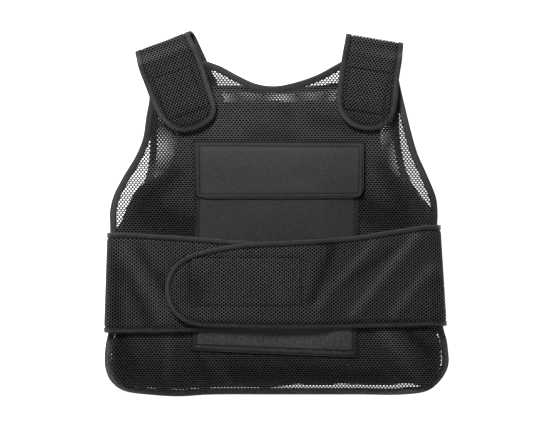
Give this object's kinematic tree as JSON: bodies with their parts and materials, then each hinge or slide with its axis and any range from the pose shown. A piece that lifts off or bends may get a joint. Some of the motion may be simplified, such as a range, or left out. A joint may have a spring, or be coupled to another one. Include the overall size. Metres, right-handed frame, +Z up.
{
  "type": "stab vest",
  "caption": "Mesh-covered stab vest lying on its back, with folding shoulder straps, side belts closed over the front and a flap pocket.",
  "frame": {"origin": "on the surface that the vest lies on, under the middle of its outline", "axes": "+Z up out of the front panel, +Y towards the head end, +X to the side whose belt closes on top"},
  "size_m": [0.5159, 0.5483, 0.069],
  "materials": {
    "mesh_cloth": "black open mesh",
    "insert_cover": "matt black plain cloth",
    "binding_tape": "black ribbed tape",
    "pocket_cloth": "dark grey plain weave with a low sheen",
    "hook_tape": "black hook tape"
  },
  "bodies": {
    "root": {"back_outer_mesh": "mesh_cloth", "back_inner_mesh": "mesh_cloth", "back_insert": "insert_cover", "back_binding": "binding_tape", "front_inner_mesh": "mesh_cloth", "front_outer_mesh": "mesh_cloth", "front_insert": "insert_cover", "front_binding": "binding_tape", "pocket": "pocket_cloth", "pocket_flap": "pocket_cloth", "left_strap_mesh": "mesh_cloth", "left_strap_binding": "binding_tape", "left_strap_hook_patch": "hook_tape", "right_strap_mesh": "mesh_cloth", "right_strap_binding": "binding_tape", "right_strap_hook_patch": "hook_tape", "left_belt_mesh": "mesh_cloth", "left_belt_binding": "binding_tape", "right_belt_mesh": "mesh_cloth", "right_belt_binding": "binding_tape", "belt_hook_patch": "hook_tape"}
  },
  "joints": []
}
